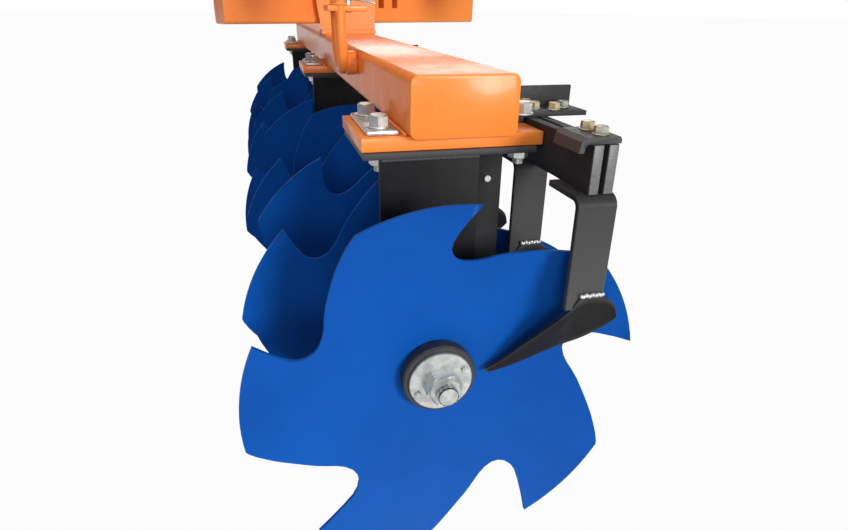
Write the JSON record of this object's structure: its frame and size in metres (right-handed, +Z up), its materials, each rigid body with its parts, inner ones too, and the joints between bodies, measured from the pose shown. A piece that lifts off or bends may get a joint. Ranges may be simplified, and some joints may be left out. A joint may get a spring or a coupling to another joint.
{
  "type": "disc harrow",
  "caption": "Mounted offset disc harrow with two angled gangs of notched dished discs, scrapers, gang beams and a three-point headstock.",
  "frame": {"origin": "middle of the footprint at ground level", "axes": "+X the way it travels, +Y its left side, +Z up"},
  "size_m": [3.3816, 2.936, 1.5149],
  "materials": {
    "orange_paint": "gloss orange paint",
    "disc_blue": "satin blue paint",
    "black_steel": "satin dark grey to black steel",
    "bare_steel": "dull zinc and machined steel"
  },
  "bodies": {
    "main_frame": {"front_carrier": "orange_paint", "front_cross_tube_fore": "orange_paint", "front_cross_tube_aft": "orange_paint", "rear_carrier": "orange_paint", "rear_cross_tube_fore": "orange_paint", "rear_cross_tube_aft": "orange_paint", "side_tube_left": "orange_paint", "side_tube_right": "orange_paint", "head_beam": "orange_paint", "mast_cheek_left": "orange_paint", "mast_cheek_right": "orange_paint", "top_link_pin": "bare_steel", "lower_bracket_left": "orange_paint", "lower_bracket_right": "orange_paint", "lower_pin_left": "bare_steel", "lower_pin_right": "bare_steel"},
    "front_gang": {"front_gang_beam": "orange_paint", "front_pivot_pin": "bare_steel", "front_clamp_plate": "orange_paint", "front_scraper_set": "black_steel", "front_hook_rod": "orange_paint", "front_standard_1": "black_steel", "front_standard_2": "black_steel", "front_standard_3": "black_steel"},
    "front_axle": {"front_axle_spools": "bare_steel", "front_disc_01": "disc_blue", "front_disc_02": "disc_blue", "front_disc_03": "disc_blue", "front_disc_04": "disc_blue", "front_disc_05": "disc_blue", "front_disc_06": "disc_blue", "front_disc_07": "disc_blue", "front_disc_08": "disc_blue", "front_disc_09": "disc_blue", "front_disc_10": "disc_blue", "front_disc_11": "disc_blue", "front_disc_12": "disc_blue"},
    "rear_gang": {"rear_gang_beam": "orange_paint", "rear_pivot_pin": "bare_steel", "rear_clamp_plate": "orange_paint", "rear_scraper_set": "black_steel", "rear_hook_rod": "orange_paint", "rear_standard_1": "black_steel", "rear_standard_2": "black_steel", "rear_standard_3": "black_steel"},
    "rear_axle": {"rear_axle_spools": "bare_steel", "rear_disc_01": "disc_blue", "rear_disc_02": "disc_blue", "rear_disc_03": "disc_blue", "rear_disc_04": "disc_blue", "rear_disc_05": "disc_blue", "rear_disc_06": "disc_blue", "rear_disc_07": "disc_blue", "rear_disc_08": "disc_blue", "rear_disc_09": "disc_blue", "rear_disc_10": "disc_blue", "rear_disc_11": "disc_blue", "rear_disc_12": "disc_blue"}
  },
  "joints": [
    {"name": "front_gang_angle", "type": "hinge", "parent": "main_frame", "child": "front_gang", "pos_m": [0.8381, 0, 0.85], "axis": [0, 0, 1], "range_deg": [-8, 4]},
    {"name": "rear_gang_angle", "type": "hinge", "parent": "main_frame", "child": "rear_gang", "pos_m": [-1.0619, 0, 0.85], "axis": [0, 0, 1], "range_deg": [-4, 8]},
    {"name": "front_axle_turn", "type": "hinge", "parent": "front_gang", "child": "front_axle", "pos_m": [0.88414, 0.01676, 0.33], "axis": [-0.342, 0.9397, 0], "continuous": true},
    {"name": "rear_axle_turn", "type": "hinge", "parent": "rear_gang", "child": "rear_axle", "pos_m": [-1.01586, -0.01676, 0.33], "axis": [-0.342, -0.9397, 0], "continuous": true}
  ]
}
